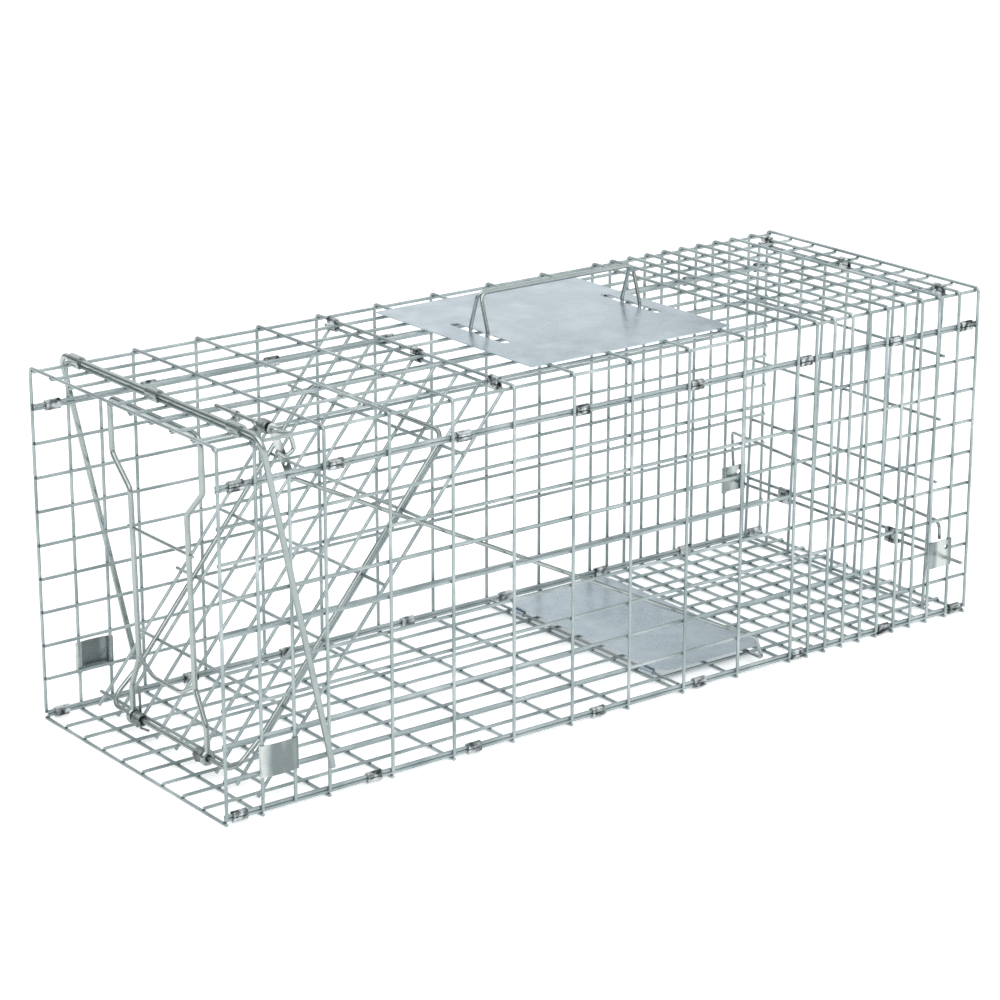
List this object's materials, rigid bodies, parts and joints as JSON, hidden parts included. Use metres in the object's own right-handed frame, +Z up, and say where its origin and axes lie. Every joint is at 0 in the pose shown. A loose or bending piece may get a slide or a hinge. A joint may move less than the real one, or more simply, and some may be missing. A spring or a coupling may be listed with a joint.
{
  "type": "live catch trap",
  "caption": "Galvanised wire mesh live catch trap with a sloping front drop door, lock frame, treadle plate, trigger rod and carrying handle.",
  "frame": {"origin": "centre of the floor panel, at the level it stands on", "axes": "+X from the entrance to the rear, +Y to the left of someone looking in through the entrance, +Z up"},
  "size_m": [0.7888, 0.311, 0.3386],
  "materials": {
    "wire": "galvanised, satin",
    "rod": "bright zinc, semi-gloss",
    "plate": "galvanised sheet, satin",
    "clip": "galvanised strip, satin",
    "spring": "spring steel, semi-gloss"
  },
  "bodies": {
    "cage": {"floor_panel": "wire", "side_panel_right": "wire", "side_panel_left": "wire", "top_panel": "wire", "top_clips_right": "clip", "top_clips_left": "clip", "floor_clips_right": "clip", "floor_clips_left": "clip", "front_hinge_clips": "clip", "rear_hinge_clips": "clip", "bail_sleeves": "clip", "side_catch_right": "plate", "side_catch_left": "plate", "guard_plate": "plate", "carry_handle": "rod", "treadle_pin": "rod", "latch_saddles": "clip", "rear_plate_right": "plate", "rear_plate_left": "plate"},
    "front_door": {"front_door_mesh": "wire", "front_door_frame": "rod"},
    "lock": {"lock_frame": "rod", "lock_springs": "spring"},
    "bail_arm": {"bail": "rod"},
    "latch": {"latch_axle": "rod", "latch_lever": "plate", "latch_spring": "spring"},
    "trigger": {"trigger_rod": "rod"},
    "treadle": {"treadle_plate": "plate"},
    "rear_door": {"rear_door_mesh": "wire", "rear_door_hooks": "clip"},
    "rear_lock": {"rear_lock_rod": "rod"}
  },
  "joints": [
    {"name": "front_door_swing", "type": "hinge", "parent": "cage", "child": "front_door", "pos_m": [-0.118, 0, 0.29495], "axis": [0, 1, 0], "range_deg": [0, 11.2]},
    {"name": "lock_fold", "type": "hinge", "parent": "front_door", "child": "lock", "pos_m": [-0.358, 0, 0.021], "axis": [0, 1, 0], "range_deg": [0, 40.6]},
    {"name": "bail_swing", "type": "hinge", "parent": "cage", "child": "bail_arm", "pos_m": [-0.36, 0, 0.30535], "axis": [0, 1, 0], "range_deg": [-80, 9]},
    {"name": "latch_swing", "type": "hinge", "parent": "cage", "child": "latch", "pos_m": [-0.336, -0.09, 0.303], "axis": [0, 1, 0], "range_deg": [0, 21.5]},
    {"name": "trigger_pivot", "type": "hinge", "parent": "latch", "child": "trigger", "pos_m": [-0.32, -0.129, 0.262], "axis": [0, 1, 0], "range_deg": [-24.6, 0]},
    {"name": "treadle_tilt", "type": "hinge", "parent": "cage", "child": "treadle", "pos_m": [0.062, 0, 0.0069], "axis": [0, 1, 0], "range_deg": [-14, 0]},
    {"name": "rear_door_swing", "type": "hinge", "parent": "cage", "child": "rear_door", "pos_m": [0.37, 0, 0.29495], "axis": [0, 1, 0], "range_deg": [0, 80]},
    {"name": "rear_lock_slide", "type": "slide", "parent": "cage", "child": "rear_lock", "axis": [0, 1, 0], "range_m": [0, 0.04]}
  ],
  "couplings": [
    {"joint": "lock_fold", "follows": "front_door_swing", "ratio": 3.62},
    {"joint": "latch_swing", "follows": "treadle_tilt", "ratio": -1.533},
    {"joint": "trigger_pivot", "follows": "treadle_tilt", "ratio": 1.754}
  ]
}
